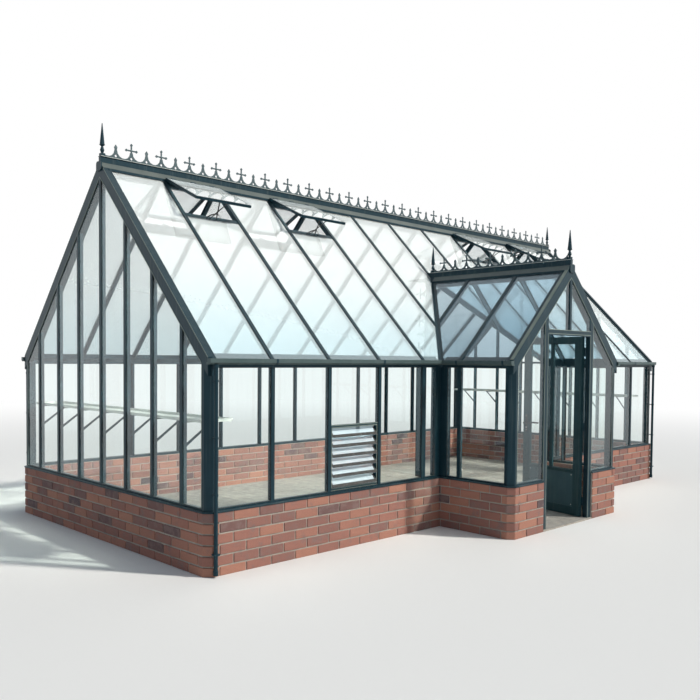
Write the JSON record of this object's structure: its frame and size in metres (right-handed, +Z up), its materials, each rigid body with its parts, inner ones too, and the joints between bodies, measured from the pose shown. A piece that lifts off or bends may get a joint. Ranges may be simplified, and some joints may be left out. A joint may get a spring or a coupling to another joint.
{
  "type": "glass greenhouse",
  "caption": "Free-standing green-framed glass greenhouse on low brick walls, with a gabled entrance porch, ridge cresting, finials, open roof vents, a louvre window and a hinged door.",
  "frame": {"origin": "middle of the main house's footprint, at ground level", "axes": "+Z up, +X along the main ridge to the right as seen from the door, -Y out through the door"},
  "size_m": [7.644, 4.326, 3.765],
  "materials": {
    "frame": "satin powder coat",
    "gutter": "satin powder coat",
    "door_panel": "satin powder coat",
    "hardware": "brushed",
    "glass": "clear float",
    "brick": "fired clay, stands for brick",
    "floor_slabs": "stone paving, matt"
  },
  "bodies": {
    "house": {"left_wall": "brick", "right_wall": "brick", "back_wall": "brick", "front_walls": "brick", "porch_side_walls": "brick", "door_piers": "brick", "main_floor": "floor_slabs", "porch_floor": "floor_slabs", "left_gable_frame": "frame", "right_gable_frame": "frame", "front_frame_left": "frame", "front_frame_right": "frame", "back_frame": "frame", "inner_corner_posts": "frame", "porch_frame_left": "frame", "porch_frame_right": "frame", "porch_gable_frame": "frame", "door_frame": "frame", "door_side_sills": "frame", "roof_bars_front": "frame", "roof_bars_back": "frame", "porch_roof_bars": "frame", "vent_curbs": "frame", "main_ridge": "frame", "porch_ridge": "frame", "valley_gutters": "frame", "roof_glass_front": "glass", "roof_glass_back": "glass", "porch_roof_glass": "glass", "left_gable_glass": "glass", "right_gable_glass": "glass", "front_glass": "glass", "back_glass": "glass", "porch_side_glass": "glass", "door_side_glass": "glass", "porch_gable_glass": "glass", "main_cresting": "frame", "porch_cresting": "frame", "finials": "frame", "gutters": "gutter", "downpipes": "gutter", "roof_vents": "frame", "vent_glass": "glass", "louvre_frame": "frame", "louvre_blades": "glass", "gable_shelves": "frame", "shelf_brackets": "frame", "apex_covers": "frame", "vent_openers": "hardware"},
    "door": {"door_leaf": "frame", "door_panel": "door_panel", "door_glass": "glass", "door_handle": "hardware", "door_hinges": "hardware"}
  },
  "joints": [
    {"name": "door_hinge", "type": "hinge", "parent": "house", "child": "door", "pos_m": [0.412, -2.481, 0], "axis": [0, 0, 1], "range_deg": [-8, 102]}
  ]
}
